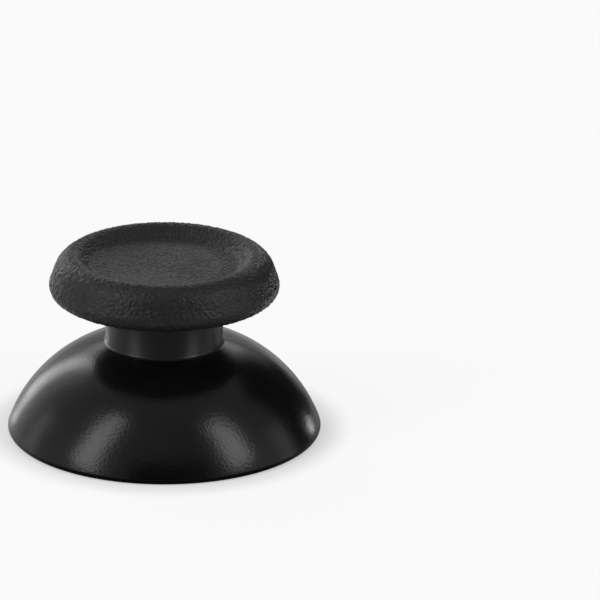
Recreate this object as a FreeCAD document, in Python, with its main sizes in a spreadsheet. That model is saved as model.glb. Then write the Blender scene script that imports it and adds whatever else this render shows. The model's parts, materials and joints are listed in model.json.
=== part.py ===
# Thumbstick cap: a hard plastic dome with a cored neck, and a soft pad moulded over its top disc.
# Millimetres, +Z up. The origin is the centre of the rim's plane, on which the cap stands.
# The left and right of the cap are -X and +X, and the flats of its socket face -Y and +Y.
import FreeCAD, Part
import math
import os
import Sketcher

doc = FreeCAD.newDocument("ThumbstickCap")

# Driving dimensions: name, value and what it measures

driving = [
    ("skirt_radius", 13.5, "widest radius of the skirt, at the round of its rim"),
    ("rim_round", 0.4, "round of the rim's outer edge"),
    ("shell_wall", 1.25, "wall of the dome"),
    ("dome_arc_offset", 1.95, "centre of the dome's arc, out from the axis"),
    ("dome_arc_drop", 3.76, "centre of the dome's arc, below the rim's plane"),
    ("neck_radius", 5.03, "outside of the neck and of the hub below it"),
    ("neck_wall", 0.58, "wall of the neck outside its cores"),
    ("neck_height", 4.02, "neck in the open, from the dome to the pad"),
    ("neck_foot_round", 0.3, "hollow round where the neck meets the dome"),
    ("hub_reach", 1.05, "hub below the dome's ceiling"),
    ("hub_root_round", 0.25, "hollow round where the hub meets the ceiling"),
    ("hub_recess", 0.25, "step from the hub's end up to its inner ring"),
    ("socket_radius", 2.32, "round sides of the keyed socket"),
    ("socket_flats", 3.65, "across the socket's two flats"),
    ("socket_wall", 0.98, "ring around the socket, up to the cores"),
    ("socket_depth", 4.8, "keyed socket above its round mouth"),
    ("mouth_clearance", 0.08, "round mouth over the socket's radius"),
    ("mouth_depth", 0.9, "length of the round mouth"),
    ("bridge_width", 0.87, "webs that carry the socket's ring"),
    ("core_depth", 6.1, "cores between the webs, from the hub's end"),
    ("core_corner", 0.35, "corners of the cores"),
    ("rib_thickness", 0.46, "ribs under the dome"),
    ("rib_set_back", 0.38, "lower edge of a rib above the hub's end, in the neck's wall"),
    ("rib_foot_inset", 2.1, "end of a rib in the shell's wall, in from the skirt's radius"),
    ("pin_mark_radius", 2.05, "round marks that the ejector pins leave"),
    ("pin_mark_inset", 4.5, "centres of the pin marks, in from the skirt's radius"),
    ("pin_mark_height", 0.05, "pin marks proud of the ceiling"),
    ("pin_mark_turn", 22.5, "pin marks from the webs, in degrees"),
    ("pad_radius", 9.9, "widest radius of the pad"),
    ("pad_height", 3.8, "pad from its underside to its crest"),
    ("base_round", 1.03, "round of the pad's lower edge"),
    ("shoulder_round", 2.15, "round of the pad's outer side below the crest"),
    ("shoulder_angle", 64.5, "where the shoulder's round meets the crest's, in degrees above level"),
    ("crest_round", 1.05, "round of the crest"),
    ("crest_inset", 2.0, "centre of the crest's round, in from the pad's radius"),
    ("dish_slope", 38.0, "slope of the dish's wall, in degrees"),
    ("dish_floor_arc", 110.0, "radius of the dish's slightly hollow floor"),
    ("dish_edge_round", 0.9, "hollow round where the dish's wall meets its floor"),
    ("rubber_under", 0.75, "rubber below the core disc"),
    ("rubber_over", 0.75, "rubber above the core disc, at the axis"),
    ("rubber_side", 1.3, "rubber outside the core disc"),
    ("disc_thickness", 1.15, "core disc inside the pad"),
    ("disc_round", 0.3, "edges of the core disc"),
]

# Counts, which no size changes
bridgeCount = 4
ribCount = 8
pinMarkCount = 4

sizes = doc.addObject("Spreadsheet::Sheet", "Sizes")
for row, (name, number, note) in enumerate(driving, 1):
    sizes.set("A%d" % row, name)
    sizes.set("B%d" % row, str(number))
    sizes.set("C%d" % row, note)
    sizes.setAlias("B%d" % row, name)
doc.recompute()

# Sizes that follow from the driving ones

following = [
    # Dome: its arc is tangent to the rim's round, and the inner arc has the same centre
    ("outer_arc", "Sizes.rim_round + hypot(Sizes.skirt_radius - Sizes.rim_round - Sizes.dome_arc_offset;"
                  " Sizes.rim_round + Sizes.dome_arc_drop)"),
    ("inner_arc", "outer_arc - Sizes.shell_wall"),
    ("middle_arc", "outer_arc - Sizes.shell_wall / 2"),
    ("rim_corner", "Sizes.dome_arc_offset + cath(outer_arc; Sizes.dome_arc_drop)"),
    ("land_inner", "Sizes.dome_arc_offset + cath(inner_arc; Sizes.dome_arc_drop)"),
    ("dome_top", "cath(outer_arc; Sizes.neck_radius - Sizes.dome_arc_offset) - Sizes.dome_arc_drop"),
    ("ceiling", "cath(inner_arc; Sizes.neck_radius - Sizes.dome_arc_offset) - Sizes.dome_arc_drop"),
    # Hub, socket and cores
    ("hub_end", "ceiling - Sizes.hub_reach"),
    ("mouth_end", "hub_end + Sizes.hub_recess"),
    ("socket_start", "mouth_end + Sizes.mouth_depth"),
    ("socket_end", "socket_start + Sizes.socket_depth"),
    ("mouth_radius", "Sizes.socket_radius + Sizes.mouth_clearance"),
    ("core_inner", "Sizes.socket_radius + Sizes.socket_wall"),
    ("core_outer", "Sizes.neck_radius - Sizes.neck_wall"),
    ("core_end", "hub_end + Sizes.core_depth"),
    ("core_corner", "min(Sizes.core_corner; 0.45 * (core_outer - core_inner))"),
    # Ribs
    ("rib_start", "Sizes.neck_radius - Sizes.neck_wall / 2"),
    ("rib_start_low", "hub_end + Sizes.rib_set_back"),
    ("rib_start_high", "cath(middle_arc; rib_start - Sizes.dome_arc_offset) - Sizes.dome_arc_drop"),
    ("rib_foot", "Sizes.skirt_radius - Sizes.rib_foot_inset"),
    ("rib_foot_height", "cath(middle_arc; rib_foot - Sizes.dome_arc_offset) - Sizes.dome_arc_drop"),
    ("pin_mark_place", "Sizes.skirt_radius - Sizes.pin_mark_inset"),
    # Core disc and pad
    ("pad_base", "dome_top + Sizes.neck_height"),
    ("disc_base", "pad_base + Sizes.rubber_under"),
    ("disc_top", "disc_base + Sizes.disc_thickness"),
    ("disc_radius", "Sizes.pad_radius - Sizes.rubber_side"),
    ("dish_floor", "disc_top + Sizes.rubber_over"),
    ("base_centre", "Sizes.pad_radius - Sizes.base_round"),
    ("base_centre_height", "pad_base + Sizes.base_round"),
    ("crest_centre", "Sizes.pad_radius - Sizes.crest_inset"),
    ("crest_centre_height", "pad_base + Sizes.pad_height - Sizes.crest_round"),
    ("shoulder_end", "crest_centre + Sizes.crest_round * cos(Sizes.shoulder_angle * 1 deg)"),
    ("dish_centre_height", "dish_floor + Sizes.dish_floor_arc"),
]

worked = doc.addObject("Spreadsheet::Sheet", "Worked")
for row, (name, formula) in enumerate(following, 1):
    worked.set("A%d" % row, name)
    worked.set("B%d" % row, "=" + formula)
    worked.setAlias("B%d" % row, name)
    doc.recompute()


def value(expression):
    return float(worked.evalExpression(expression))


# Sketches: r and z stand for the sketch's own two directions

onAxis = "0"
startIndex, endIndex, centreIndex = 1, 2, 3
originIndex, levelAxisIndex, uprightAxisIndex = -1, -1, -2


def originPlane(body, role):
    return [plane for plane in body.Origin.OriginFeatures if plane.Role == role][0]


def newSketch(body, name, role):
    sketch = body.newObject("Sketcher::SketchObject", name)
    sketch.AttachmentSupport = [(originPlane(body, role), "")]
    sketch.MapMode = "FlatFace"
    return sketch


def line(sketch, r1, z1, r2, z2):
    return sketch.addGeometry(Part.LineSegment(FreeCAD.Vector(r1, z1, 0), FreeCAD.Vector(r2, z2, 0)))


def arc(sketch, r, z, radius, first, last):
    # An arc runs anticlockwise from its first angle to its last, in radians
    circle = Part.Circle(FreeCAD.Vector(r, z, 0), FreeCAD.Vector(0, 0, 1), radius)
    return sketch.addGeometry(Part.ArcOfCircle(circle, first, last))


def bind(sketch, name, constraint, expression):
    index = sketch.addConstraint(constraint)
    sketch.renameConstraint(index, name)
    sketch.setExpression("Constraints." + name, expression)


def bindPoint(sketch, name, curve, point, r=None, z=None):
    # Ties a point to the axes where its distance is nothing, and to a size where it has one
    if r == onAxis:
        sketch.addConstraint(Sketcher.Constraint("PointOnObject", curve, point, uprightAxisIndex))
    elif r:
        bind(sketch, name + "R", Sketcher.Constraint("DistanceX", originIndex, 1, curve, point, value(r)), r)
    if z == onAxis:
        sketch.addConstraint(Sketcher.Constraint("PointOnObject", curve, point, levelAxisIndex))
    elif z:
        bind(sketch, name + "Z", Sketcher.Constraint("DistanceY", originIndex, 1, curve, point, value(z)), z)


def bindDomeCentre(sketch, curve):
    # The dome's arcs share one centre, out from the axis and below the rim's plane
    bindPoint(sketch, "domeCentre", curve, centreIndex, r="Sizes.dome_arc_offset")
    bind(sketch, "domeCentreZ", Sketcher.Constraint("DistanceY", curve, centreIndex, originIndex, 1,
                                                    value("Sizes.dome_arc_drop")), "Sizes.dome_arc_drop")


def bindRadius(sketch, name, curve, expression):
    bind(sketch, name, Sketcher.Constraint("Radius", curve, value(expression)), expression)


def join(sketch, first, firstPoint, second, secondPoint, kind="Coincident"):
    sketch.addConstraint(Sketcher.Constraint(kind, first, firstPoint, second, secondPoint))


def drawCorners(sketch, corners):
    # Straight edges through the corners in turn; a corner is a name with its r and z
    places = [(name, value(r), value(z)) for name, r, z in corners]
    edges = [line(sketch, a[1], a[2], b[1], b[2]) for a, b in zip(places, places[1:])]
    for before, after in zip(edges, edges[1:]):
        join(sketch, before, endIndex, after, startIndex)
    return edges


# Features

settled = {}


def feature(body, kind, name):
    return body.newObject("PartDesign::" + kind, name)


def settle(body, made, change):
    # Makes the feature the body's tip, and stops if it did not add or remove material as it should
    body.Tip = made
    doc.recompute()
    gained = made.Shape.Volume - settled.get(body.Name, 0.0)
    if gained * change <= 0:
        raise RuntimeError("%s changed the volume by %.4f" % (made.Name, gained))
    settled[body.Name] = made.Shape.Volume


tolerance = 1e-3


def ringEdges(shape, radius, height):
    # Names of the circular edges about the axis, at this radius and height
    names = []
    for number, edge in enumerate(shape.Edges, 1):
        if edge.Degenerated or not isinstance(edge.Curve, Part.Circle):
            continue
        curve = edge.Curve
        middle = curve.Center
        misses = (math.hypot(middle.x, middle.y), abs(middle.z - height), abs(curve.Radius - radius))
        if max(misses) < tolerance:
            names.append("Edge%d" % number)
    return names


def uprightEdges(shape, radii, low, high):
    # Names of the straight upright edges that reach from low to high at one of these radii
    names = []
    for number, edge in enumerate(shape.Edges, 1):
        ends = [vertex.Point for vertex in edge.Vertexes]
        if edge.Degenerated or len(ends) != 2 or not isinstance(edge.Curve, Part.Line):
            continue
        upright = math.hypot(ends[0].x - ends[1].x, ends[0].y - ends[1].y) < tolerance
        spans = min(p.z for p in ends) < low and max(p.z for p in ends) > high
        radius = math.hypot(ends[0].x, ends[0].y)
        if upright and spans and min(abs(radius - r) for r in radii) < tolerance:
            names.append("Edge%d" % number)
    return names


def roundEdges(body, name, edges, expression, change):
    if not edges:
        raise RuntimeError("no edges for " + name)
    base = body.Tip
    made = feature(body, "Fillet", name)
    made.Base = (base, edges)
    made.setExpression("Radius", expression)
    settle(body, made, change)


def roundRing(body, name, radius, height, expression, change):
    roundEdges(body, name, ringEdges(body.Tip.Shape, value(radius), value(height)), expression, change)


def revolve(body, name, sketch):
    made = feature(body, "Revolution", name)
    made.Profile = sketch
    made.ReferenceAxis = (sketch, ["V_Axis"])
    made.Angle = 360
    settle(body, made, +1)


def pocketUp(body, name, sketch, depth):
    # Cuts from the rim's plane upwards, through the empty hollow and into the hub
    made = feature(body, "Pocket", name)
    made.Profile = sketch
    made.setExpression("Length", depth)
    made.Reversed = True
    settle(body, made, -1)
    return made


def ringPattern(body, name, original, count, change):
    made = feature(body, "PolarPattern", name)
    made.Originals = [original]
    made.Axis = (originPlane(body, "Z_Axis"), [""])
    made.Angle = 360
    made.Occurrences = count
    settle(body, made, change)


# Hard moulding: dome, neck, hub and core disc are turned from one half section

moulding = doc.addObject("PartDesign::Body", "MouldingBody")
doc.recompute()

section = newSketch(moulding, "MouldingSection", "XZ_Plane")
arcCentreR, arcCentreZ = value("Sizes.dome_arc_offset"), -value("Sizes.dome_arc_drop")


def arcAngle(r, z):
    return math.atan2(value(z) - arcCentreZ, value(r) - arcCentreR)


neckSide = [
    ("discTopAxis", onAxis, "Worked.disc_top"),
    ("discTop", "Worked.disc_radius", "Worked.disc_top"),
    ("discUnder", "Worked.disc_radius", "Worked.disc_base"),
    ("neckTop", "Sizes.neck_radius", "Worked.disc_base"),
    ("neckFoot", "Sizes.neck_radius", "Worked.dome_top"),
]
hubSide = [
    ("hubRoot", "Sizes.neck_radius", "Worked.ceiling"),
    ("hubEdge", "Sizes.neck_radius", "Worked.hub_end"),
    ("hubStep", "Worked.core_inner", "Worked.hub_end"),
    ("ringStep", "Worked.core_inner", "Worked.mouth_end"),
    ("mouthEdge", "Worked.mouth_radius", "Worked.mouth_end"),
    ("mouthTop", "Worked.mouth_radius", "Worked.socket_start"),
    ("mouthAxis", onAxis, "Worked.socket_start"),
]
neckEdges = drawCorners(section, neckSide)
outerArc = arc(section, arcCentreR, arcCentreZ, value("Worked.outer_arc"),
               arcAngle("Worked.rim_corner", "0"), arcAngle("Sizes.neck_radius", "Worked.dome_top"))
land = line(section, value("Worked.rim_corner"), 0, value("Worked.land_inner"), 0)
innerArc = arc(section, arcCentreR, arcCentreZ, value("Worked.inner_arc"),
               arcAngle("Worked.land_inner", "0"), arcAngle("Sizes.neck_radius", "Worked.ceiling"))
hubEdges = drawCorners(section, hubSide)
axisEdge = line(section, 0, value("Worked.socket_start"), 0, value("Worked.disc_top"))

join(section, neckEdges[-1], endIndex, outerArc, endIndex)
join(section, outerArc, startIndex, land, startIndex)
join(section, land, endIndex, innerArc, startIndex)
join(section, innerArc, endIndex, hubEdges[0], startIndex)
join(section, hubEdges[-1], endIndex, axisEdge, startIndex)
join(section, axisEdge, endIndex, neckEdges[0], startIndex)
join(section, outerArc, centreIndex, innerArc, centreIndex)
for edge, (name, r, z) in zip(neckEdges, neckSide):
    bindPoint(section, name, edge, startIndex, r, z)
for edge, (name, r, z) in list(zip(hubEdges, hubSide))[1:]:
    bindPoint(section, name, edge, startIndex, r, z)
# The neck's foot and the hub's root have their radius from the sheet and their height from the arcs
bindPoint(section, "neckFoot", neckEdges[-1], endIndex, r="Sizes.neck_radius")
bindPoint(section, "hubRoot", hubEdges[0], startIndex, r="Sizes.neck_radius")
bindPoint(section, "mouthAxis", axisEdge, startIndex, onAxis, "Worked.socket_start")
bindDomeCentre(section, outerArc)
bindRadius(section, "outerArc", outerArc, "Worked.outer_arc")
bindRadius(section, "innerArc", innerArc, "Worked.inner_arc")
bindPoint(section, "rimCorner", land, startIndex, z=onAxis)
bindPoint(section, "landInner", land, endIndex, z=onAxis)
doc.recompute()
revolve(moulding, "MouldingTurned", section)
roundRing(moulding, "NeckFootRound", "Sizes.neck_radius", "Worked.dome_top", "Sizes.neck_foot_round", +1)
roundRing(moulding, "RimRound", "Worked.rim_corner", "0", "Sizes.rim_round", -1)
roundRing(moulding, "HubRootRound", "Sizes.neck_radius", "Worked.ceiling", "Sizes.hub_root_round", +1)
for name, height in (("DiscTopRound", "Worked.disc_top"), ("DiscBaseRound", "Worked.disc_base")):
    roundRing(moulding, name, "Worked.disc_radius", height, "Sizes.disc_round", -1)

# Keyed socket: a round hole with two flats, above its round mouth

keyed = newSketch(moulding, "SocketSection", "XY_Plane")
socketRadius = value("Sizes.socket_radius")
halfFlats = value("Sizes.socket_flats") / 2
flatAngle = math.asin(halfFlats / socketRadius)
flatReach = math.sqrt(socketRadius ** 2 - halfFlats ** 2)
lowFlat = line(keyed, -flatReach, -halfFlats, flatReach, -halfFlats)
rightSide = arc(keyed, 0, 0, socketRadius, -flatAngle, flatAngle)
highFlat = line(keyed, flatReach, halfFlats, -flatReach, halfFlats)
leftSide = arc(keyed, 0, 0, socketRadius, math.pi - flatAngle, math.pi + flatAngle)
loop = [lowFlat, rightSide, highFlat, leftSide]
for before, after in zip(loop, loop[1:] + loop[:1]):
    join(keyed, before, endIndex, after, startIndex)
for side in (rightSide, leftSide):
    join(keyed, side, centreIndex, originIndex, 1)
bindRadius(keyed, "socketRadius", rightSide, "Sizes.socket_radius")
keyed.addConstraint(Sketcher.Constraint("Equal", rightSide, leftSide))
for flat in (lowFlat, highFlat):
    keyed.addConstraint(Sketcher.Constraint("Horizontal", flat))
bindPoint(keyed, "highFlat", highFlat, startIndex, z="Sizes.socket_flats / 2")
bind(keyed, "lowFlat", Sketcher.Constraint("DistanceY", lowFlat, startIndex, originIndex, 1, halfFlats),
     "Sizes.socket_flats / 2")
doc.recompute()
pocketUp(moulding, "SocketPocket", keyed, "Worked.socket_end")

# Cores: four kidney-shaped holes between the webs, up inside the neck

core = newSketch(moulding, "CoreSection", "XY_Plane")
coreInner, coreOuter = value("Worked.core_inner"), value("Worked.core_outer")
halfBridge = value("Sizes.bridge_width") / 2
innerAngle = math.asin(halfBridge / coreInner)
outerAngle = math.asin(halfBridge / coreOuter)
quarter = math.pi / 2
nearReach, farReach = coreInner * math.cos(innerAngle), coreOuter * math.cos(outerAngle)
levelSide = line(core, nearReach, halfBridge, farReach, halfBridge)
coreOuterArc = arc(core, 0, 0, coreOuter, outerAngle, quarter - outerAngle)
uprightSide = line(core, halfBridge, farReach, halfBridge, nearReach)
coreInnerArc = arc(core, 0, 0, coreInner, innerAngle, quarter - innerAngle)
join(core, levelSide, endIndex, coreOuterArc, startIndex)
join(core, coreOuterArc, endIndex, uprightSide, startIndex)
join(core, uprightSide, endIndex, coreInnerArc, endIndex)
join(core, coreInnerArc, startIndex, levelSide, startIndex)
for side in (coreOuterArc, coreInnerArc):
    join(core, side, centreIndex, originIndex, 1)
bindRadius(core, "coreOuter", coreOuterArc, "Worked.core_outer")
bindRadius(core, "coreInner", coreInnerArc, "Worked.core_inner")
core.addConstraint(Sketcher.Constraint("Horizontal", levelSide))
core.addConstraint(Sketcher.Constraint("Vertical", uprightSide))
bindPoint(core, "levelSide", levelSide, startIndex, z="Sizes.bridge_width / 2")
bindPoint(core, "uprightSide", uprightSide, startIndex, r="Sizes.bridge_width / 2")
doc.recompute()
corePocket = pocketUp(moulding, "CorePocket", core, "Worked.core_end")
ringPattern(moulding, "CoreRing", corePocket, bridgeCount, -1)
coreCorners = uprightEdges(moulding.Tip.Shape, (coreInner, coreOuter),
                           value("Worked.socket_start"), value("Worked.core_end") - tolerance)
roundEdges(moulding, "CoreCorners", coreCorners, "Worked.core_corner", +1)

# Ribs: thin gussets from the hub to the ceiling, rooted halfway into the walls at both ends

rib = newSketch(moulding, "RibSection", "XZ_Plane")
ribLower = line(rib, value("Worked.rib_start"), value("Worked.rib_start_low"),
                value("Worked.rib_foot"), value("Worked.rib_foot_height"))
ribArc = arc(rib, arcCentreR, arcCentreZ, value("Worked.middle_arc"),
             arcAngle("Worked.rib_foot", "Worked.rib_foot_height"),
             arcAngle("Worked.rib_start", "Worked.rib_start_high"))
ribInner = line(rib, value("Worked.rib_start"), value("Worked.rib_start_high"),
                value("Worked.rib_start"), value("Worked.rib_start_low"))
join(rib, ribLower, endIndex, ribArc, startIndex)
join(rib, ribArc, endIndex, ribInner, startIndex)
join(rib, ribInner, endIndex, ribLower, startIndex)
bindPoint(rib, "ribStart", ribLower, startIndex, "Worked.rib_start", "Worked.rib_start_low")
bindPoint(rib, "ribFoot", ribLower, endIndex, r="Worked.rib_foot")
bindPoint(rib, "ribHigh", ribInner, startIndex, r="Worked.rib_start")
bindDomeCentre(rib, ribArc)
bindRadius(rib, "ribArc", ribArc, "Worked.middle_arc")
doc.recompute()
ribPad = feature(moulding, "Pad", "RibPad")
ribPad.Profile = rib
ribPad.setExpression("Length", "Sizes.rib_thickness")
ribPad.Midplane = True
settle(moulding, ribPad, +1)
ringPattern(moulding, "RibRing", ribPad, ribCount, +1)

# Pin marks: a thin skin along the ceiling, kept only inside the ejector pins

skin = doc.addObject("PartDesign::Body", "PinMarkSkin")
doc.recompute()
skinSection = newSketch(skin, "PinMarkSection", "XZ_Plane")
skinReach = 1.2  # the skin reaches a little past the pins, as a share of their radius
skinFirst = "(Worked.pin_mark_place - %g * Sizes.pin_mark_radius)" % skinReach
skinLast = "(Worked.pin_mark_place + %g * Sizes.pin_mark_radius)" % skinReach
skinLow = "(Worked.inner_arc - Sizes.pin_mark_height)"


def skinHeight(r, radius):
    return "(cath(%s; %s - Sizes.dome_arc_offset) - Sizes.dome_arc_drop)" % (radius, r)


def skinAngle(r, radius):
    return arcAngle(r, skinHeight(r, radius))


skinLowArc = arc(skinSection, arcCentreR, arcCentreZ, value(skinLow),
                 skinAngle(skinLast, skinLow), skinAngle(skinFirst, skinLow))
skinHighArc = arc(skinSection, arcCentreR, arcCentreZ, value("Worked.middle_arc"),
                  skinAngle(skinLast, "Worked.middle_arc"), skinAngle(skinFirst, "Worked.middle_arc"))
skinInner = line(skinSection, value(skinFirst), value(skinHeight(skinFirst, skinLow)),
                 value(skinFirst), value(skinHeight(skinFirst, "Worked.middle_arc")))
skinOuter = line(skinSection, value(skinLast), value(skinHeight(skinLast, "Worked.middle_arc")),
                 value(skinLast), value(skinHeight(skinLast, skinLow)))
join(skinSection, skinLowArc, endIndex, skinInner, startIndex)
join(skinSection, skinInner, endIndex, skinHighArc, endIndex)
join(skinSection, skinHighArc, startIndex, skinOuter, startIndex)
join(skinSection, skinOuter, endIndex, skinLowArc, startIndex)
join(skinSection, skinLowArc, centreIndex, skinHighArc, centreIndex)
for side, name, r in ((skinInner, "skinFirst", skinFirst), (skinOuter, "skinLast", skinLast)):
    bindPoint(skinSection, name, side, startIndex, r=r)
    skinSection.addConstraint(Sketcher.Constraint("Vertical", side))
bindDomeCentre(skinSection, skinLowArc)
bindRadius(skinSection, "skinLow", skinLowArc, skinLow)
bindRadius(skinSection, "skinHigh", skinHighArc, "Worked.middle_arc")
doc.recompute()
revolve(skin, "PinMarkTurned", skinSection)

pins = []
for number in range(pinMarkCount):
    pin = doc.addObject("Part::Cylinder", "Pin%d" % (number + 1))
    pin.setExpression("Radius", "Sizes.pin_mark_radius")
    pin.setExpression("Height", "Worked.dome_top")
    bearing = "(%d * 360 / %d - Sizes.pin_mark_turn) * 1 deg" % (number, pinMarkCount)
    pin.setExpression("Placement.Base.x", "Worked.pin_mark_place * cos(%s)" % bearing)
    pin.setExpression("Placement.Base.y", "Worked.pin_mark_place * sin(%s)" % bearing)
    pins.append(pin)
pinGroup = doc.addObject("Part::MultiFuse", "Pins")
pinGroup.Shapes = pins
pinMarks = doc.addObject("Part::MultiCommon", "PinMarks")
pinMarks.Shapes = [skin, pinGroup]
wholeMoulding = doc.addObject("Part::MultiFuse", "WholeMoulding")
wholeMoulding.Shapes = [moulding, pinMarks]
wholeMoulding.Label = "body_moulding"
doc.recompute()

# Soft pad: turned from one half section, with the core disc's space left inside it

pad = doc.addObject("PartDesign::Body", "PadBody")
pad.Label = "grip_pad"
doc.recompute()
padSection = newSketch(pad, "PadSection", "XZ_Plane")

baseR, baseZ = value("Worked.base_centre"), value("Worked.base_centre_height")
baseRound = value("Sizes.base_round")
crestR, crestZ = value("Worked.crest_centre"), value("Worked.crest_centre_height")
crestRound = value("Sizes.crest_round")
shoulderRound = value("Sizes.shoulder_round")
meetAngle = math.radians(value("Sizes.shoulder_angle"))
shoulderR = crestR - (shoulderRound - crestRound) * math.cos(meetAngle)
shoulderZ = crestZ - (shoulderRound - crestRound) * math.sin(meetAngle)
# The outer side is the straight tangent of the lower edge's round and the shoulder's
apart = math.hypot(shoulderR - baseR, shoulderZ - baseZ)
sideAngle = math.atan2(shoulderZ - baseZ, shoulderR - baseR) - math.acos((baseRound - shoulderRound) / apart)
slope = math.radians(value("Sizes.dish_slope"))
wallAngle = math.pi / 2 + slope
wallR = crestR + crestRound * math.cos(wallAngle)
wallZ = crestZ + crestRound * math.sin(wallAngle)
# The wall runs down to the floor's arc, whose centre is high on the axis
floorArcRadius = value("Sizes.dish_floor_arc")
floorCentreZ = value("Worked.dish_centre_height")
along = wallR * math.cos(slope) + (wallZ - floorCentreZ) * math.sin(slope)
across = wallR ** 2 + (wallZ - floorCentreZ) ** 2 - floorArcRadius ** 2
wallLength = along + math.sqrt(along ** 2 - across)
floorR = wallR - wallLength * math.cos(slope)
floorZ = wallZ - wallLength * math.sin(slope)

padBase = value("Worked.pad_base")
under = line(padSection, value("Sizes.neck_radius"), padBase, baseR, padBase)
baseArc = arc(padSection, baseR, baseZ, baseRound, -quarter, sideAngle)
sideR, sideZ = math.cos(sideAngle), math.sin(sideAngle)
outerSide = line(padSection, baseR + baseRound * sideR, baseZ + baseRound * sideZ,
                 shoulderR + shoulderRound * sideR, shoulderZ + shoulderRound * sideZ)
shoulderArc = arc(padSection, shoulderR, shoulderZ, shoulderRound, sideAngle, meetAngle)
crestArc = arc(padSection, crestR, crestZ, crestRound, meetAngle, wallAngle)
dishWall = line(padSection, wallR, wallZ, floorR, floorZ)
floorArc = arc(padSection, 0, floorCentreZ, floorArcRadius,
               -quarter, math.atan2(floorZ - floorCentreZ, floorR))
discSpace = [
    ("padAxis", onAxis, "Worked.dish_floor"),
    ("spaceAxis", onAxis, "Worked.disc_top"),
    ("spaceTop", "Worked.disc_radius", "Worked.disc_top"),
    ("spaceUnder", "Worked.disc_radius", "Worked.disc_base"),
    ("neckHoleTop", "Sizes.neck_radius", "Worked.disc_base"),
    ("neckHole", "Sizes.neck_radius", "Worked.pad_base"),
]
spaceEdges = drawCorners(padSection, discSpace)

join(padSection, under, endIndex, baseArc, startIndex, "Tangent")
join(padSection, baseArc, endIndex, outerSide, startIndex, "Tangent")
join(padSection, outerSide, endIndex, shoulderArc, startIndex, "Tangent")
join(padSection, shoulderArc, endIndex, crestArc, startIndex, "Tangent")
join(padSection, crestArc, endIndex, dishWall, startIndex, "Tangent")
join(padSection, dishWall, endIndex, floorArc, endIndex)
join(padSection, floorArc, startIndex, spaceEdges[0], startIndex)
join(padSection, spaceEdges[-1], endIndex, under, startIndex)
for edge, (name, r, z) in zip(spaceEdges, discSpace):
    bindPoint(padSection, name, edge, startIndex, r, z)
bindPoint(padSection, "neckHole", under, startIndex, "Sizes.neck_radius", "Worked.pad_base")
bindPoint(padSection, "baseCentre", baseArc, centreIndex, "Worked.base_centre", "Worked.base_centre_height")
bindRadius(padSection, "baseRound", baseArc, "Sizes.base_round")
bindPoint(padSection, "crestCentre", crestArc, centreIndex,
          "Worked.crest_centre", "Worked.crest_centre_height")
bindRadius(padSection, "crestRound", crestArc, "Sizes.crest_round")
bindRadius(padSection, "shoulderRound", shoulderArc, "Sizes.shoulder_round")
bindPoint(padSection, "shoulderEnd", crestArc, startIndex, r="Worked.shoulder_end")
bindPoint(padSection, "floorCentre", floorArc, centreIndex, r=onAxis)
bindRadius(padSection, "floorArc", floorArc, "Sizes.dish_floor_arc")
bind(padSection, "dishSlope", Sketcher.Constraint("Angle", dishWall, slope - math.pi),
     "(Sizes.dish_slope - 180) * 1 deg")
doc.recompute()
revolve(pad, "PadTurned", padSection)
floorEdge = padSection.getPoint(dishWall, endIndex)
dishEdges = ringEdges(pad.Tip.Shape, floorEdge.x, floorEdge.y)
roundEdges(pad, "DishEdgeRound", dishEdges, "Sizes.dish_edge_round", +1)
for name, height in (("SpaceTopRound", "Worked.disc_top"), ("SpaceBaseRound", "Worked.disc_base")):
    roundRing(pad, name, "Worked.disc_radius", height, "Sizes.disc_round", +1)

# Every object has to be sound, and each node one valid solid, before anything is written

doc.recompute()
for item in doc.Objects:
    if "Invalid" in item.State or "Error" in item.State:
        raise RuntimeError("%s is in state %s" % (item.Name, item.State))
    if item.isDerivedFrom("Sketcher::SketchObject") and item.FullyConstrained is False:
        raise RuntimeError("%s is not fully constrained" % item.Name)
nodes = [wholeMoulding, pad]
for node in nodes:
    if node.Shape.isNull() or not node.Shape.isValid() or len(node.Shape.Solids) != 1:
        raise RuntimeError("%s is not one valid solid" % node.Label)
os.makedirs("parts", exist_ok=True)
for node in nodes:
    node.Shape.exportStep("parts/%s.step" % node.Label)
    box = node.Shape.optimalBoundingBox(True, False)
    print("%-14s %9.3f mm3, %.3f across, from %.3f to %.3f high"
          % (node.Label, node.Shape.Volume, box.XLength, box.ZMin, box.ZMax))
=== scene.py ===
# Thumbstick cap: the finish of its glossy moulding, its grained rubber pad, and a small studio round it
import json
import math
import bpy
import numpy as np
from mathutils import Matrix, Vector, noise

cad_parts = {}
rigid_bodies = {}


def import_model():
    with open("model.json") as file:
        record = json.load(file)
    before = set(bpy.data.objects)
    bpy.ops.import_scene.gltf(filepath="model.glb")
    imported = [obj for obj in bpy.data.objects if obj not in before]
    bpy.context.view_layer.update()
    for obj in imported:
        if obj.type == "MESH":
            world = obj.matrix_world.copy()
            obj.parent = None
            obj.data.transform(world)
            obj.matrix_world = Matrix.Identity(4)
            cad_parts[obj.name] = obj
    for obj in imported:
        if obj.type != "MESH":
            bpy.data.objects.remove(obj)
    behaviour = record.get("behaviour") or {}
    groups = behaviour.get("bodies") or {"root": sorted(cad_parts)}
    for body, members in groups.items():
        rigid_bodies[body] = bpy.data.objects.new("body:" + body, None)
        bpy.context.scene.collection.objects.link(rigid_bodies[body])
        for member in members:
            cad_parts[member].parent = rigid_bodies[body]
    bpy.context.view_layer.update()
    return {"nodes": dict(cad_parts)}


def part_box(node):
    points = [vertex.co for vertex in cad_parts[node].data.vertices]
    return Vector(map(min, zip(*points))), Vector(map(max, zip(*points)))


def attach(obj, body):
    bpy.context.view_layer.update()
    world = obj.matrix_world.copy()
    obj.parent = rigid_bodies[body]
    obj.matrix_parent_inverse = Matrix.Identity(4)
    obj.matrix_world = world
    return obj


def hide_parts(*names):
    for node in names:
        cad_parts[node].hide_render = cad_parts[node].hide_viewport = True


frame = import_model()
mm = 0.001   # a millimetre in metres
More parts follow.
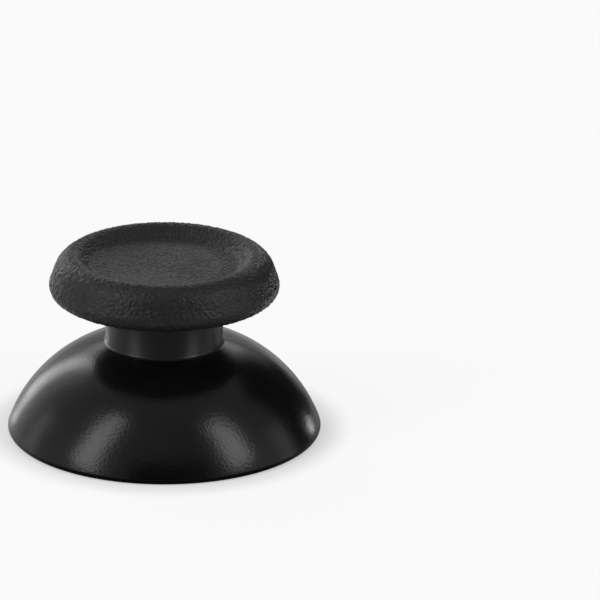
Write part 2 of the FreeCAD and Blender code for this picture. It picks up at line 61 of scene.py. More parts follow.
cap = frame["nodes"]
print("stage: packed cap loaded, nodes", sorted(cap))


# Small helpers for node trees

def addNode(tree, kind, **settings):
    node = tree.nodes.new(kind)
    for name, setting in settings.items():
        setattr(node, name, setting)
    return node


def feed(tree, target, source):
    # A socket is linked, and anything else is typed into the input
    if isinstance(source, bpy.types.NodeSocket):
        tree.links.new(source, target)
    else:
        target.default_value = source


def maths(tree, operation, first, second=0.0, clamp=False):
    node = addNode(tree, "ShaderNodeMath", operation=operation, use_clamp=clamp)
    feed(tree, node.inputs[0], first)
    feed(tree, node.inputs[1], second)
    return node.outputs[0]


def fadeBetween(tree, source, low, high):
    # 0 below low, 1 above high, and a smooth step between
    node = addNode(tree, "ShaderNodeMapRange", interpolation_type="SMOOTHSTEP")
    feed(tree, node.inputs["Value"], source)
    node.inputs["From Min"].default_value = low
    node.inputs["From Max"].default_value = high
    return node.outputs["Result"]


def spread(tree, source, low, high):
    # Stretches a 0 to 1 pattern to the range from low to high
    node = addNode(tree, "ShaderNodeMapRange")
    feed(tree, node.inputs["Value"], source)
    node.inputs["To Min"].default_value = low
    node.inputs["To Max"].default_value = high
    return node.outputs["Result"]


def mixed(tree, factor, first, second):
    node = addNode(tree, "ShaderNodeMix", data_type="FLOAT")
    feed(tree, node.inputs[0], factor)
    feed(tree, node.inputs[2], first)
    feed(tree, node.inputs[3], second)
    return node.outputs[0]


def blendColours(tree, factor, first, second):
    node = addNode(tree, "ShaderNodeMix", data_type="RGBA")
    feed(tree, node.inputs[0], factor)
    feed(tree, node.inputs[6], first)
    feed(tree, node.inputs[7], second)
    return node.outputs[2]


def speckle(tree, place, size, detail=2.0):
    # Soft noise whose lumps are about this size, in metres
    node = addNode(tree, "ShaderNodeTexNoise")
    feed(tree, node.inputs["Vector"], place)
    node.inputs["Scale"].default_value = 1 / size
    node.inputs["Detail"].default_value = detail
    return node.outputs["Fac"]


def bump(tree, height, strength, distance, under=None):
    node = addNode(tree, "ShaderNodeBump")
    node.inputs["Strength"].default_value = strength
    node.inputs["Distance"].default_value = distance
    feed(tree, node.inputs["Height"], height)
    if under:
        feed(tree, node.inputs["Normal"], under)
    return node.outputs["Normal"]


def newMaterial(name):
    material = bpy.data.materials.new(name)
    material.use_nodes = True
    tree = material.node_tree
    surface = tree.nodes["Principled BSDF"]
    place = addNode(tree, "ShaderNodeTexCoord").outputs["Object"]
    return material, tree, surface, place


def grey(level, tint=(1.0, 1.0, 1.0)):
    return (level * tint[0], level * tint[1], level * tint[2], 1.0)


def axesOf(tree, place):
    node = addNode(tree, "ShaderNodeSeparateXYZ")
    feed(tree, node.inputs[0], place)
    return node.outputs


def rowsOf(items, key):
    # The same vector of every vertex, face or corner, as rows of a table
    rows = np.zeros(len(items) * 3)
    items.foreach_get(key, rows)
    return rows.reshape(-1, 3)


# Camera: the photograph's viewing angle

cameraView = {
    "elevation": 20.684,             # degrees above level
    "distance": 500 * mm,
    "aim": Vector((0, 0, 8 * mm)),   # this point shows at aimPixel
    "aimPixel": (164.4, 340.5),
    "picture": 600,                  # pixels each way
    "lens": 349.0,
    "sensor": 36.0,
    "clip": (10 * mm, 20.0),
}


def addCamera():
    v = cameraView
    tilt = math.radians(v["elevation"])
    back = Vector((0, -math.cos(tilt), math.sin(tilt)))
    data = bpy.data.cameras.new("photoCamera")
    data.lens, data.sensor_width = v["lens"], v["sensor"]
    data.clip_start, data.clip_end = v["clip"]
    camera = bpy.data.objects.new("photoCamera", data)
    bpy.context.scene.collection.objects.link(camera)
    # The camera turns away from the cap, which stands left of and below the picture's middle
    focal = v["picture"] * v["lens"] / v["sensor"]
    turn = math.atan((v["picture"] / 2 - v["aimPixel"][0]) / focal)
    lift = math.atan((v["aimPixel"][1] - v["picture"] / 2) / focal)
    straight = (-back).to_track_quat("-Z", "Y").to_matrix()
    turned = straight @ Matrix.Rotation(-turn, 3, "Y") @ Matrix.Rotation(lift, 3, "X")
    camera.matrix_world = Matrix.Translation(v["aim"] + back * v["distance"]) @ turned.to_4x4()
    bpy.context.scene.camera = camera


addCamera()
print("stage: camera")


# Rubber pad: one turned outline with rings of fine faces, pressed with a leather grain

padForm = {
    "radius": 9.9 * mm,
    "baseRound": 1.03 * mm,
    "shoulderRound": 2.15 * mm,
    "shoulderAngle": 64.5,         # degrees above level, where the crest's round takes over
    "crestRound": 1.05 * mm,
    "crestInset": 2.0 * mm,
    "dishSlope": 38.0,
    "dishFloor": 1.15 * mm,        # lowest point of the dish, below the crest
    "dishFloorArc": 110 * mm,
    "dishEdgeRound": 0.9 * mm,
    "neckRadius": 5.03 * mm,
    "discRadius": 8.6 * mm,        # space for the moulding's core disc
    "discUnder": 0.75 * mm,        # from the pad's underside up to the disc
    "discThick": 1.15 * mm,
    "columns": 640,                # faces round the widest part
    "fewestColumns": 20,
    "ringStep": 0.092 * mm,
    "hiddenStep": 0.9 * mm,        # the same round the space for the disc
    "samePoint": 1e-4 * mm,        # points closer than this count once
    "onAxis": 1e-3 * mm,           # and a ring narrower than this is one point
}

leatherGrain = {
    "pebble": 0.33 * mm,           # size of one pebble
    "depth": 0.072 * mm,
    "creaseSlope": 2.2,            # higher is narrower creases
    "creaseShape": 1.5,            # higher is rounder pebbles
    "wander": 0.30,                # how far the pebbles' edges wander, in pebbles
    "wanderPace": 0.9,             # and how often, in times a pebble
    "seed": 7,                     # of that wander; without one it would differ in each run
    "wrinkle": 0.9 * mm,           # longer soft wrinkles below the pebbles
    "wrinkleDepth": 0.020 * mm,
    "wrinkleFrom": Vector((7, 3, 5)),
    "smoothByNeck": 0.35 * mm,     # the grain fades out this close to the neck
}


def arcPoints(centre, radius, first, last, step):
    # Points on an arc from the first to the last angle, in degrees
    count = max(2, math.ceil(abs(math.radians(last - first)) * radius / step))
    angles = [math.radians(first + (last - first) * i / count) for i in range(count + 1)]
    return [(centre[0] + radius * math.cos(a), centre[1] + radius * math.sin(a)) for a in angles]


def straightPoints(start, end, step):
    count = max(1, math.ceil(math.dist(start, end) / step))
    return [(start[0] + (end[0] - start[0]) * i / count, start[1] + (end[1] - start[1]) * i / count)
            for i in range(count + 1)]


def padOutline():
    # From the top's centre over the crest and under the pad, then round the space for the disc to the axis
    f, step = padForm, padForm["ringStep"]
    low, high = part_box("grip_pad")
    base, top = low.z, high.z
    baseCentre = (f["radius"] - f["baseRound"], base + f["baseRound"])
    crestCentre = (f["radius"] - f["crestInset"], top - f["crestRound"])
    inset = f["shoulderRound"] - f["crestRound"]
    meet = math.radians(f["shoulderAngle"])
    shoulder = (crestCentre[0] - inset * math.cos(meet), crestCentre[1] - inset * math.sin(meet))
    # The outer side is the straight tangent of the lower edge's round and the shoulder's
    apart = math.dist(shoulder, baseCentre)
    rise = math.atan2(shoulder[1] - baseCentre[1], shoulder[0] - baseCentre[0])
    side = math.degrees(rise - math.acos((f["baseRound"] - f["shoulderRound"]) / apart))
    # The dish's wall, its hollow edge and the slightly hollow floor
    floorCentre = (0.0, top - f["dishFloor"] + f["dishFloorArc"])
    edge, slope = f["dishEdgeRound"], math.radians(f["dishSlope"])
    wallOut = (-math.sin(slope), math.cos(slope))
    wallStart = (crestCentre[0] + f["crestRound"] * wallOut[0],
                 crestCentre[1] + f["crestRound"] * wallOut[1])
    lineStart = (wallStart[0] + edge * wallOut[0], wallStart[1] + edge * wallOut[1])
    reach = f["dishFloorArc"] - edge
    along = lineStart[0] * math.cos(slope) + (lineStart[1] - floorCentre[1]) * math.sin(slope)
    across = lineStart[0] ** 2 + (lineStart[1] - floorCentre[1]) ** 2 - reach ** 2
    run = along + math.sqrt(along ** 2 - across)
    edgeCentre = (lineStart[0] - run * math.cos(slope), lineStart[1] - run * math.sin(slope))
    floorTurn = math.degrees(math.atan2(edgeCentre[1] - floorCentre[1], edgeCentre[0] - floorCentre[0]))
    discBase = base + f["discUnder"]
    discTop = discBase + f["discThick"]
    stretches = [
        arcPoints(floorCentre, f["dishFloorArc"], -90, floorTurn, step),
        arcPoints(edgeCentre, edge, floorTurn, f["dishSlope"] - 90, step),
        arcPoints(crestCentre, f["crestRound"], 90 + f["dishSlope"], f["shoulderAngle"], step),
        arcPoints(shoulder, f["shoulderRound"], f["shoulderAngle"], side, step),
        arcPoints(baseCentre, f["baseRound"], side, -90, step),
        straightPoints((baseCentre[0], base), (f["neckRadius"], base), 2 * step),
        straightPoints((f["neckRadius"], base), (f["neckRadius"], discBase), f["hiddenStep"]),
        straightPoints((f["neckRadius"], discBase), (f["discRadius"], discBase), f["hiddenStep"]),
        straightPoints((f["discRadius"], discBase), (f["discRadius"], discTop), f["hiddenStep"]),
        straightPoints((f["discRadius"], discTop), (0.0, discTop), f["hiddenStep"]),
    ]
    outline = [stretches[0][0]]
    for stretch in stretches:
        # The straight lines between two arcs are filled in on the way
        for point in straightPoints(outline[-1], stretch[0], step) + stretch:
            if math.dist(point, outline[-1]) > f["samePoint"]:
                outline.append(point)
    return outline


def columnsAt(radius):
    # Rings near the axis have half, a quarter and so on of the faces
    most = padForm["columns"]
    columns = most
    while columns > padForm["fewestColumns"] and radius < padForm["radius"] * columns / most / 2:
        columns //= 2
    return columns


def turnedMesh(name, outline):
    # Rings of faces round the axis; where the count halves, three faces meet two
    points, faces, rings = [], [], []
    for radius, height in outline:
        if radius < padForm["onAxis"]:
            rings.append([len(points)])
            points.append((0.0, 0.0, height))
            continue
        columns = columnsAt(radius)
        rings.append([len(points) + i for i in range(columns)])
        turns = [2 * math.pi * i / columns for i in range(columns)]
        points += [(radius * math.cos(a), radius * math.sin(a), height) for a in turns]
    for inner, outer in zip(rings, rings[1:]):
        flip = len(inner) > len(outer)
        few, many = (outer, inner) if flip else (inner, outer)
        count, share = len(many), len(many) // len(few)
        for i in range(len(few)):
            if len(few) == 1:
                fan = [(few[0], many[j], many[(j + 1) % count]) for j in range(count)]
            elif share == 1:
                fan = [(few[i], many[i], many[(i + 1) % count], few[(i + 1) % count])]
            else:
                middle, last = many[2 * i + 1], many[(2 * i + 2) % count]
                fan = [(few[i], many[2 * i], middle), (few[i], middle, few[(i + 1) % len(few)]),
                       (few[(i + 1) % len(few)], middle, last)]
            faces += [tuple(reversed(face)) if flip else face for face in fan]
    mesh = bpy.data.meshes.new(name)
    mesh.from_pydata(points, [], faces)
    mesh.validate()
    mesh.shade_smooth()
    return mesh


def grainDepth(point, g):
    # How deep the grain is pressed in here: creases between pebbles, over longer wrinkles
    drift = noise.noise_vector(point / g["pebble"] * g["wanderPace"]) * g["wander"]
    nearest, second = noise.voronoi(point / g["pebble"] + drift)[0][:2]
    crease = 1 - min(1.0, (second - nearest) * g["creaseSlope"])
    wrinkle = 0.5 + 0.5 * noise.noise(point / g["wrinkle"] + g["wrinkleFrom"])
    return g["depth"] * crease ** g["creaseShape"] + g["wrinkleDepth"] * wrinkle


def pressGrain(mesh):
    f, g = padForm, leatherGrain
    noise.seed_set(g["seed"])
    places = rowsOf(mesh.vertices, "co")
    outward = rowsOf(mesh.vertex_normals, "vector")
    radius = np.hypot(places[:, 0], places[:, 1])
    # The space for the disc stays smooth, and the grain fades in round the neck
    height = places[:, 2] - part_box("grip_pad")[0].z
    slack = 0.1 * mm
    spaceTop = f["discUnder"] + f["discThick"] + slack
    away = np.clip((radius - f["neckRadius"]) / g["smoothByNeck"], 0, 1)
    away[height > spaceTop] = 1
    away[(height > slack) & (height < spaceTop) & (radius < f["discRadius"] + slack)] = 0
    depth = np.array([grainDepth(Vector(p), g) if a > 0 else 0.0 for p, a in zip(places, away)])
    places -= outward * (depth * away)[:, None]
    mesh.vertices.foreach_set("co", places.ravel())
    mesh.update()


rubber = {
    "colour": 0.022,
    "tint": (0.97, 1.0, 0.99),
    # painted shade: the fine creases are coloured darker than the pebbles
    "paintedCreaseShade": 0.009,
    "refraction": 1.36,
    "roughness": (0.35, 0.46),
    "patches": 2.5 * mm,           # size of the smoother and rougher patches
    "fineGrain": 0.15 * mm,
    "fineDepth": 0.016 * mm,
    "fineEdge": 0.35,              # width of the fine creases, in fine pebbles
    "driftSize": 0.5 * mm,         # the fine pebbles are shifted about this often
    "drift": 0.2 * mm,             # and this far
    "powder": 0.06 * mm,           # size of the finest specks
    "powderDepth": 0.01 * mm,
    "strengths": (0.5, 0.3),       # of the fine grain's bumps and the powder's
}


def rubberMaterial():
    # Dark soft rubber: a fine grain over the pressed one, with painted shade darkening its creases
    r = rubber
    material, tree, surface, place = newMaterial("grainedRubber")
    shifted = addNode(tree, "ShaderNodeVectorMath", operation="MULTIPLY_ADD")
    feed(tree, shifted.inputs[0], speckle(tree, place, r["driftSize"]))
    shifted.inputs[1].default_value = (r["drift"],) * 3
    feed(tree, shifted.inputs[2], place)
    cells = addNode(tree, "ShaderNodeTexVoronoi", feature="DISTANCE_TO_EDGE")
    feed(tree, cells.inputs["Vector"], shifted.outputs[0])
    cells.inputs["Scale"].default_value = 1 / r["fineGrain"]
    pebbles = fadeBetween(tree, cells.outputs["Distance"], 0.0, r["fineEdge"])
    powder = speckle(tree, place, r["powder"], detail=3)
    patches = speckle(tree, place, r["patches"], detail=3)
    colour = blendColours(tree, pebbles, grey(r["paintedCreaseShade"], r["tint"]), grey(r["colour"], r["tint"]))
    feed(tree, surface.inputs["Base Color"], colour)
    average = maths(tree, "ADD", maths(tree, "MULTIPLY", powder, 0.5),
                    maths(tree, "MULTIPLY", patches, 0.5))
    feed(tree, surface.inputs["Roughness"], spread(tree, average, *r["roughness"]))
    surface.inputs["IOR"].default_value = r["refraction"]
    grain = bump(tree, pebbles, r["strengths"][0], r["fineDepth"])
    feed(tree, surface.inputs["Normal"], bump(tree, powder, r["strengths"][1], r["powderDepth"], grain))
    return material


def makePad():
    mesh = turnedMesh("gripPad", padOutline())
    pressGrain(mesh)
    piece = bpy.data.objects.new("gripPad", mesh)
    bpy.context.scene.collection.objects.link(piece)
    mesh.materials.append(rubberMaterial())
    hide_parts("grip_pad")
    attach(piece, "root")
    print("stage: rubber pad,", len(mesh.polygons), "faces")


makePad()


# Moulding: black plastic with a finish for each part of the mould

finishes = {
    # The outside is polished, and its walls are never quite even
    "glossOutside": {"colour": 0.0035, "roughness": 0.21, "refraction": 1.36, "haze": 0.05,
                     "peel": 0.26 * mm, "peelDepth": 0.014 * mm, "waves": 3.5 * mm, "waveDepth": 0.03 * mm,
                     "parting": 0.016 * mm, "brushed": 0.0},
    # Fine turned lines round the neck spread the lamps' light up and down
    "satinNeck": {"colour": 0.015, "roughness": 0.55, "refraction": 1.65, "haze": 0.04,
                  "peel": 0.40 * mm, "peelDepth": 0.006 * mm, "waves": 2.0 * mm, "waveDepth": 0.004 * mm,
                  "parting": 0.008 * mm, "brushed": 1.0},
    "plainInside": {"colour": 0.006, "roughness": 0.32, "refraction": 1.45, "haze": 0.08,
                    "peel": 0.30 * mm, "peelDepth": 0.012 * mm, "waves": 2.5 * mm, "waveDepth": 0.02 * mm,
                    "parting": 0.0, "brushed": 0.0},
    "mattLand": {"colour": 0.008, "roughness": 0.48, "refraction": 1.45, "haze": 0.06,
                 "peel": 0.15 * mm, "peelDepth": 0.012 * mm, "waves": 2.5 * mm, "waveDepth": 0.01 * mm,
                 "parting": 0.0, "brushed": 0.0},
    # The lower part of the round at the neck's foot shines a little more than the neck
    "footRound": {"colour": 0.018, "roughness": 0.28, "refraction": 1.60, "haze": 0.04,
                  "peel": 0.30 * mm, "peelDepth": 0.008 * mm, "waves": 2.0 * mm, "waveDepth": 0.006 * mm,
                  "parting": 0.008 * mm, "brushed": 0.0},
}

mould = {
    "tint": (1.0, 1.0, 1.06),
    "hazeSize": 1.8 * mm,
    "hazeColour": (0.8, 1.2),      # the haze makes the colour this much darker and lighter
    "partingWidth": 0.13 * mm,     # half width of the parting line, which runs down the left and the right
    "shine": (0.5, 0.0),           # of the surface beside the parting line, and of the line
    # From just inside the neck's wall to the edge of the round at its foot
    "neck": (4.93 * mm, 5.25 * mm),
    # Heights of that round's end and of its middle
    "neckFoot": (8.09 * mm, 8.235 * mm),
    # The dome's arc: its centre out from the axis and above the floor, and its radius
    "arcCentre": (1.95 * mm, -3.76 * mm),
    "arc": 12.3 * mm,
    "arcFoot": 0.53 * mm,          # where the rim's round meets the arc
    "outsideDepth": 0.1 * mm,      # the outside's faces lie no deeper than this below the arc
    "slack": 0.01 * mm,            # tolerance of places on the land and on the arc
}


def mouldingMaterial(name):
    look = finishes[name]
    material, tree, surface, place = newMaterial(name)
    haze = speckle(tree, place, mould["hazeSize"], detail=4)
    darker, lighter = (grey(look["colour"] * share, mould["tint"]) for share in mould["hazeColour"])
    feed(tree, surface.inputs["Base Color"], blendColours(tree, haze, darker, lighter))
    feed(tree, surface.inputs["Roughness"], spread(tree, haze, look["roughness"] - look["haze"] / 2,
                                                   look["roughness"] + look["haze"] / 2))
    surface.inputs["IOR"].default_value = look["refraction"]
    if look["brushed"]:
        surface.inputs["Anisotropic"].default_value = look["brushed"]
        surface.inputs["Anisotropic Rotation"].default_value = 0.25   # a quarter turn
        roundAxis = addNode(tree, "ShaderNodeTangent", direction_type="RADIAL", axis="Z")
        feed(tree, surface.inputs["Tangent"], roundAxis.outputs[0])
    peel = maths(tree, "MULTIPLY", speckle(tree, place, look["peel"], detail=3), look["peelDepth"])
    waves = maths(tree, "MULTIPLY", speckle(tree, place, look["waves"], detail=1), look["waveDepth"])
    relief = maths(tree, "ADD", peel, waves)
    if look["parting"]:
        away = maths(tree, "ABSOLUTE", axesOf(tree, place)["Y"])
        onLine = fadeBetween(tree, away, mould["partingWidth"], 0.0)
        relief = maths(tree, "ADD", relief, maths(tree, "MULTIPLY", onLine, look["parting"]))
        feed(tree, surface.inputs["Specular IOR Level"], mixed(tree, onLine, *mould["shine"]))
    feed(tree, surface.inputs["Normal"], bump(tree, relief, 1.0, 1.0))
    return material


def finishMoulding():
    # Each face gets the finish of its part of the mould
    number = {name: i for i, name in enumerate(finishes)}
    mesh = cap["body_moulding"].data
    across, along, height = rowsOf(mesh.polygons, "center").T
    out = np.hypot(across, along)
    fromArc = np.hypot(out - mould["arcCentre"][0], height - mould["arcCentre"][1])
    land = height < mould["slack"]
    outside = (fromArc > mould["arc"] - mould["outsideDepth"]) & ~land
    neck = (out > mould["neck"][0]) & (out < mould["neck"][1]) & (height > mould["neckFoot"][0])
    slots = np.full(len(height), number["plainInside"])
    slots[land] = number["mattLand"]
    slots[outside] = number["glossOutside"]
    slots[neck] = number["satinNeck"]
    slots[neck & (height < mould["neckFoot"][1])] = number["footRound"]
    mesh.materials.clear()
    for name in finishes:
        mesh.materials.append(mouldingMaterial(name))
    mesh.polygons.foreach_set("material_index", slots.astype(np.int32))
    mesh.update()
    print("stage: moulding, faces of each finish", np.bincount(slots).tolist())


def shadeDome():
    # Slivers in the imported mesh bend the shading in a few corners, so the dome's outside
    # takes it from its arc
    mesh = cap["body_moulding"].data
    corners = np.zeros(len(mesh.loops), dtype=np.int32)
    mesh.loops.foreach_get("vertex_index", corners)
    places = rowsOf(mesh.vertices, "co")[corners]
    outward = rowsOf(mesh.corner_normals, "vector")
    nearest = 1e-9   # keeps the division below safe on the axis
    out = np.maximum(np.hypot(places[:, 0], places[:, 1]), nearest)
    aside, above = out - mould["arcCentre"][0], places[:, 2] - mould["arcCentre"][1]
    onArc = np.abs(np.hypot(aside, above) - mould["arc"]) < mould["slack"]
    onArc &= (places[:, 2] > mould["arcFoot"]) & (out > mould["neck"][0])
    turned = np.column_stack((aside * places[:, 0] / out, aside * places[:, 1] / out, above))
    outward[onArc] = turned[onArc] / mould["arc"]
    mesh.normals_split_custom_set(outward.tolist())
    print("stage: dome shaded from its arc,", int(onArc.sum()), "corners")


finishMoulding()
shadeDome()


# Studio: pale floor, a dim room and soft lamps

floorLook = {
    "radius": 6.0,
    "corners": 96,
    "colour": 0.88,
    "white": 0.86,                       # how much of the floor's white needs no light
    "whiteByCap": 0.45,                  # and how much close to the rim, where the shadow lies and a ring of painted shade darkens it further
    "byCap": (13.6 * mm, 16.5 * mm),
    "inGloss": 0.65,                     # how white it looks in the gloss, away from the cap
    # and by the rim, as painted lighter and darker reflection, from behind the cap over its left and front
    # to its right
    "paintedSheenByRim": [(-180, 0.3), (-135, 0.55), (-100, 0.75), (-70, 0.4), (-40, 0.2), (60, 0.2), (105, 0.3),
                     (150, 0.35)],
    "glossReach": (14 * mm, 60 * mm),
    "paintedShade": 0.1,                      # painted shade: the gloss's white right in front of the rim, times this
    "shadeReach": (14 * mm, 18.5 * mm),
    "shadeFront": (-5 * mm, -12 * mm),
}

# The gloss also sees painted reflections of the lamps behind, as two bright streaks on the floor, and a
# painted dark patch for the dark card's shade on its right;
# each fades in and out again between distances from the cap's axis
paintedFloorStreaks = {
    "shade": {"from": (12 * mm, -3 * mm, 0), "bearing": 134.5, "half": 24.5, "edge": 4,
              "near": (24.5 * mm, 29 * mm), "far": (5.0, 6.0), "level": 0.03},
    "left": {"from": (-12.1 * mm, -3.1 * mm, 0), "bearing": -150.5, "half": 5, "edge": 5,
             "near": (15.2 * mm, 19 * mm), "far": (5.0, 6.0), "level": 2.6},
    "right": {"from": (11 * mm, -6.3 * mm, 0), "bearing": 139.5, "half": 2.6, "edge": 3,
              "near": (20.5 * mm, 24 * mm), "far": (80 * mm, 180 * mm), "level": 7.5},
}


def bearingOf(tree, place):
    # Degrees round the cap from the camera's side, + to the right
    axes = axesOf(tree, place)
    toCamera = maths(tree, "MULTIPLY", axes["Y"], -1.0)
    return maths(tree, "DEGREES", maths(tree, "ARCTAN2", axes["X"], toCamera))


def levelsAllRound(tree, bearing, levels):
    # Blends between the levels given at some bearings
    ramp = addNode(tree, "ShaderNodeValToRGB")
    ramp.color_ramp.interpolation = "EASE"
    stops = ramp.color_ramp.elements
    stops.remove(stops[1])
    for number, (degrees, level) in enumerate(levels):
        position = (degrees + 180) / 360
        stop = stops[0] if number == 0 else stops.new(position)
        stop.position = position
        stop.color = grey(level)
    feed(tree, ramp.inputs[0], maths(tree, "DIVIDE", maths(tree, "ADD", bearing, 180.0), 360.0))
    return ramp.outputs[0]


def floorGlossWithPaintedSheen(tree, place, away):
    # How bright the gloss sees each place on the floor, with painted lamp reflections and painted shade
    f = floorLook
    # painted reflection: the gloss's white near the rim is set lighter or darker by side
    byRim = levelsAllRound(tree, bearingOf(tree, place), f["paintedSheenByRim"])
    sheen = mixed(tree, fadeBetween(tree, away, *f["glossReach"]), byRim, f["inGloss"])
    # painted shade in what the gloss sees, right in front of the rim
    shade = maths(tree, "MULTIPLY", fadeBetween(tree, away, *reversed(f["shadeReach"])),
                  fadeBetween(tree, axesOf(tree, place)["Y"], *f["shadeFront"]))
    sheen = maths(tree, "MULTIPLY", sheen, mixed(tree, shade, 1.0, f["paintedShade"]))
    for s in paintedFloorStreaks.values():
        shifted = addNode(tree, "ShaderNodeVectorMath", operation="SUBTRACT")
        feed(tree, shifted.inputs[0], place)
        shifted.inputs[1].default_value = s["from"]
        aside = maths(tree, "ABSOLUTE", maths(tree, "SUBTRACT", bearingOf(tree, shifted.outputs[0]),
                                              float(s["bearing"])))
        soft = s["edge"] / 2
        inReach = maths(tree, "MULTIPLY", fadeBetween(tree, away, *s["near"]),
                        fadeBetween(tree, away, *reversed(s["far"])))
        inStreak = maths(tree, "MULTIPLY", inReach,
                         fadeBetween(tree, aside, s["half"] + soft, s["half"] - soft))
        # each streak paints a lamp's reflection, or a dark patch of shade, into what the gloss sees
        sheen = mixed(tree, inStreak, sheen, s["level"])
    return sheen


def addFloor():
    # White to the eye and in the gloss, and darker where the cap shades it, with a painted ring of shade by
    # the rim; the gloss also sees painted shade and painted lamp reflections
    count = floorLook["corners"]
    turns = [2 * math.pi * i / count for i in range(count)]
    ring = [(floorLook["radius"] * math.cos(a), floorLook["radius"] * math.sin(a), 0.0) for a in turns]
    mesh = bpy.data.meshes.new("studioFloor")
    mesh.from_pydata(ring, [], [tuple(range(count))])
    floor = bpy.data.objects.new("studioFloor", mesh)
    bpy.context.scene.collection.objects.link(floor)
    material = bpy.data.materials.new("paleFloor")
    material.use_nodes = True
    tree = material.node_tree
    tree.nodes.clear()
    matt = addNode(tree, "ShaderNodeBsdfDiffuse")
    matt.inputs["Color"].default_value = grey(floorLook["colour"])
    white = addNode(tree, "ShaderNodeEmission")
    path = addNode(tree, "ShaderNodeLightPath")
    place = addNode(tree, "ShaderNodeTexCoord").outputs["Object"]
    away = addNode(tree, "ShaderNodeVectorMath", operation="LENGTH")
    feed(tree, away.inputs[0], place)
    away = away.outputs["Value"]
    mirrored = maths(tree, "ADD", path.outputs["Is Glossy Ray"], path.outputs["Is Transmission Ray"],
                     clamp=True)
    # less white by the rim lets the real shadow show, and also paints a darker ring of shade there
    seen = mixed(tree, fadeBetween(tree, away, *floorLook["byCap"]), floorLook["whiteByCap"],
                 floorLook["white"])
    share = maths(tree, "ADD", maths(tree, "MULTIPLY", path.outputs["Is Camera Ray"], seen), mirrored,
                  clamp=True)
    feed(tree, white.inputs["Strength"], mixed(tree, mirrored, 1.0, floorGlossWithPaintedSheen(tree, place, away)))
    both = addNode(tree, "ShaderNodeMixShader")
    feed(tree, both.inputs[0], share)
    feed(tree, both.inputs[1], matt.outputs[0])
    feed(tree, both.inputs[2], white.outputs[0])
    out = addNode(tree, "ShaderNodeOutputMaterial")
    feed(tree, out.inputs["Surface"], both.outputs[0])
    mesh.materials.append(material)


roomLight = {
    # How bright the walls are all round, from behind the cap over its left and front to its right
    "walls": [(-180, 0.45), (-160, 0.42), (-140, 0.6), (-100, 0.45), (-60, 0.5), (-25, 0.38), (30, 0.30),
              (60, 0.45), (105, 0.40), (165, 0.45)],
    "ceiling": 0.40,
    "wallTop": (55, 80),           # elevations between which the walls turn into the ceiling
}

# Pale and dark cards by the walls; angles in degrees, bearing from the camera's side, + to the right
cards = {
    "frontDark": {"bearing": 3, "half": 30, "foot": -8, "head": 32, "edge": 16, "level": 0.0},
    "leftPale": {"bearing": -90, "half": 42, "foot": -8, "head": 30, "edge": 16, "level": 0.58},
    "leftGlow": {"bearing": -139, "half": 9, "foot": -8, "head": 42, "edge": 8, "level": 0.95},
    "leftStrip": {"bearing": -114, "half": 6, "foot": -8, "head": 24, "edge": 6, "level": 1.35},
    "rightPale": {"bearing": 84, "half": 22, "foot": -8, "head": 26, "edge": 10, "level": 0.62},
    "rightStrip": {"bearing": 101, "half": 6, "foot": -8, "head": 24, "edge": 5, "level": 1.05},
    "rightDark": {"bearing": 132, "half": 22, "foot": -8, "head": 46, "edge": 8, "level": 0.02},
    "rightDarkLow": {"bearing": 149, "half": 11, "foot": -8, "head": 12, "edge": 4, "level": 0.02},
}


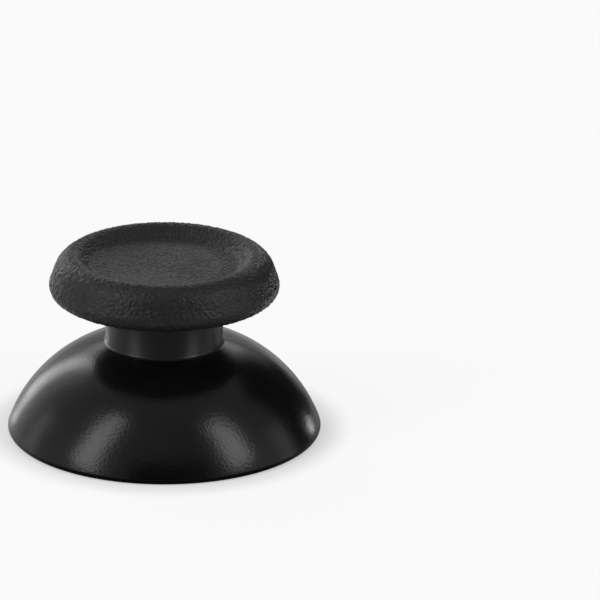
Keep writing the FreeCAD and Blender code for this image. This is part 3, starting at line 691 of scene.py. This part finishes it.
def addRoom():
    world = bpy.data.worlds.new("studioRoom")
    bpy.context.scene.world = world
    world.use_nodes = True
    tree = world.node_tree
    place = addNode(tree, "ShaderNodeTexCoord").outputs["Generated"]
    bearing = bearingOf(tree, place)
    elevation = maths(tree, "DEGREES", maths(tree, "ARCSINE", axesOf(tree, place)["Z"]))
    room = blendColours(tree, fadeBetween(tree, elevation, *roomLight["wallTop"]),
                        levelsAllRound(tree, bearing, roomLight["walls"]), grey(roomLight["ceiling"]))
    for c in cards.values():
        soft = c["edge"] / 2
        aside = maths(tree, "ABSOLUTE", maths(tree, "SUBTRACT", bearing, float(c["bearing"])))
        inside = maths(tree, "MULTIPLY", fadeBetween(tree, aside, c["half"] + soft, c["half"] - soft),
                       fadeBetween(tree, elevation, c["head"] + soft, c["head"] - soft))
        inside = maths(tree, "MULTIPLY", inside,
                       fadeBetween(tree, elevation, c["foot"] - soft, c["foot"] + soft))
        room = blendColours(tree, inside, room, grey(c["level"]))
    feed(tree, tree.nodes["Background"].inputs["Color"], room)


softboxDistance = 0.6

softboxes = {
    # bearing in degrees from the camera's side, + to the right; level is the lamp's brightness, 1 is white;
    # onlyOn names the one piece that the lamp lights
    "leftFront": {"bearing": -61, "bottom": 0.17, "top": 1.0, "width": 0.21, "level": 4.6},
    "rightFront": {"bearing": 59, "bottom": 0.20, "top": 0.85, "width": 0.20, "level": 4.6},
    "leftBack": {"bearing": -149, "bottom": 0.0, "top": 0.5, "width": 0.10, "level": 3.3},
    "rightBack": {"bearing": 155, "bottom": 0.18, "top": 0.5, "width": 0.12, "level": 2.2,
                  "onlyOn": "gripPad"},
}

overhead = {"bearing": -175, "elevation": 26, "distance": 0.8, "size": (0.7, 0.14), "level": 1.35}


def addLamp(name, place, facing, size, level):
    data = bpy.data.lights.new(name, "AREA")
    data.shape = "RECTANGLE"
    data.size, data.size_y = size
    data.energy = level * math.pi * size[0] * size[1]
    lamp = bpy.data.objects.new(name, data)
    bpy.context.scene.collection.objects.link(lamp)
    lamp.location = place
    lamp.rotation_mode = "QUATERNION"
    lamp.rotation_quaternion = facing.to_track_quat("-Z", "Y")
    lamp.visible_camera = False
    return lamp


def bearingVector(bearing, elevation=0.0):
    turn, rise = math.radians(bearing), math.radians(elevation)
    return Vector((math.sin(turn) * math.cos(rise), -math.cos(turn) * math.cos(rise), math.sin(rise)))


def addLamps():
    for name, s in softboxes.items():
        out = bearingVector(s["bearing"])
        place = out * softboxDistance + Vector((0, 0, (s["bottom"] + s["top"]) / 2))
        lamp = addLamp(name, place, -out, (s["width"], s["top"] - s["bottom"]), s["level"])
        if "onlyOn" in s:
            lit = bpy.data.collections.new(name + "Lights")
            lit.objects.link(bpy.data.objects[s["onlyOn"]])
            lamp.light_linking.receiver_collection = lit
    o = overhead
    out = bearingVector(o["bearing"], o["elevation"])
    addLamp("overhead", out * o["distance"], -out, o["size"], o["level"])


addFloor()
addRoom()
addLamps()
bpy.context.scene.view_settings.view_transform = "Standard"
print("stage: studio")
